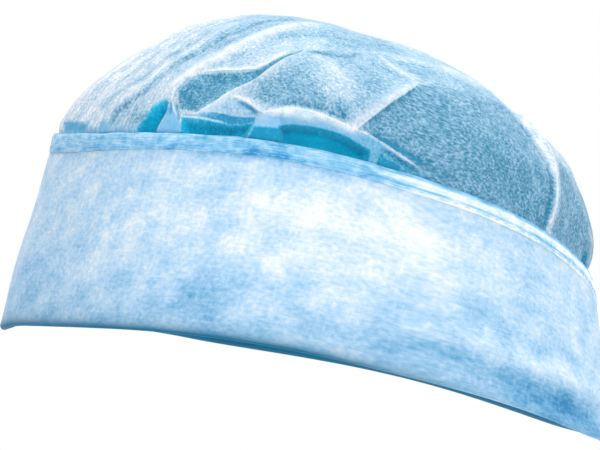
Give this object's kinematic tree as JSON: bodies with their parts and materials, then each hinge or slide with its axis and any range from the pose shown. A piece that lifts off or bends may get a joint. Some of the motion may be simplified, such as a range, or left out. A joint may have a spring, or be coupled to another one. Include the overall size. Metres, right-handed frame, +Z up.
{
  "type": "disposable helmet liner",
  "caption": "Soft disposable cap worn under a helmet: a tall opaque headband, a narrow raised seam binding and a thin, sheer crown gathered into the seam.",
  "frame": {"origin": "middle of the head opening in plan, level with the rim at the forehead", "axes": "+Z up, towards the apex of the crown; the forehead faces -Y; the wearer's left is +X"},
  "size_m": [0.1866, 0.2152, 0.1301],
  "materials": {
    "band_cloth": "matt, mottled opaque nonwoven",
    "binding_cloth": "matt folded nonwoven strip",
    "crown_cloth": "thin, sheer, fibrous nonwoven, whiter where it is folded double"
  },
  "bodies": {
    "root": {"headband": "band_cloth", "seam_binding": "binding_cloth", "crown": "crown_cloth"}
  },
  "joints": []
}
